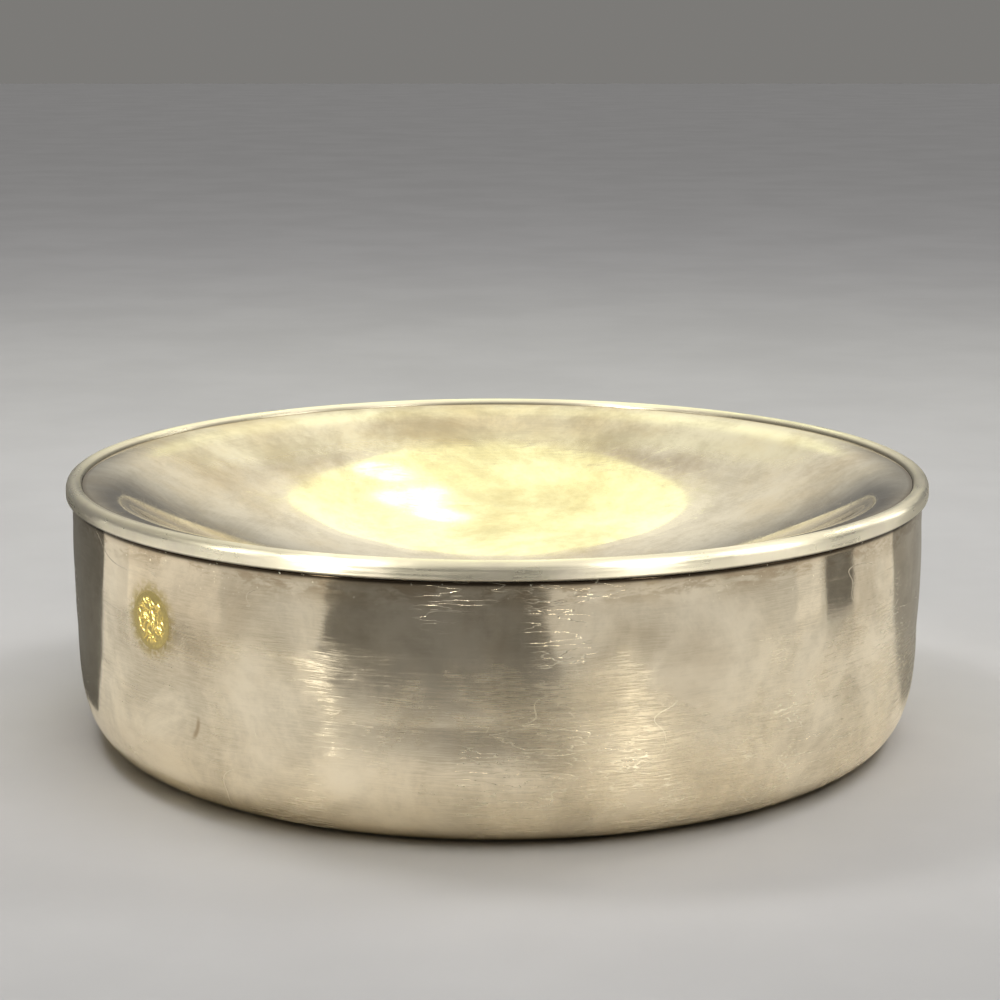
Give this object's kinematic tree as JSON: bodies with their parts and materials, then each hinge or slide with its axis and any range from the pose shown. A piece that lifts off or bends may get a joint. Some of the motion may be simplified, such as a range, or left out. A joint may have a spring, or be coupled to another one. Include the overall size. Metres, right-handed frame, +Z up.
{
  "type": "lift-off dish on a drum",
  "caption": "Low round plated drum with a wide concave dish that lifts off; the dish has a beaded rim and chills or warms what it holds.",
  "frame": {"origin": "centre of the flat base, on the surface the drum stands on", "axes": "+Z up along the axis of the vessel; -Y towards the viewer of the side that has the gilt seal on its left; +X to the viewer's right"},
  "size_m": [0.3, 0.3, 0.091],
  "materials": {
    "drum_plate": "silver plate on brass, polished by hand, warm with light tarnish and fine scratches",
    "dish_plate": "silver plate on brass, polished by hand, warm with light tarnish and fine scratches",
    "bead_plate": "silver plate on drawn brass, bright on the top, dull in the crease",
    "inner_band_plate": "thin silver plate on brass, dull, never polished",
    "seal_gilding": "gilt, crinkled"
  },
  "bodies": {
    "drum": {"drum_shell": "drum_plate", "drum_mouth_band": "inner_band_plate", "gilt_seal": "seal_gilding"},
    "dish": {"dish_shell": "dish_plate", "rim_bead": "bead_plate", "locating_collar": "inner_band_plate"}
  },
  "joints": [
    {"name": "dish_lift", "type": "slide", "parent": "drum", "child": "dish", "axis": [0, 0, 1], "range_m": [0, 0.1]}
  ]
}
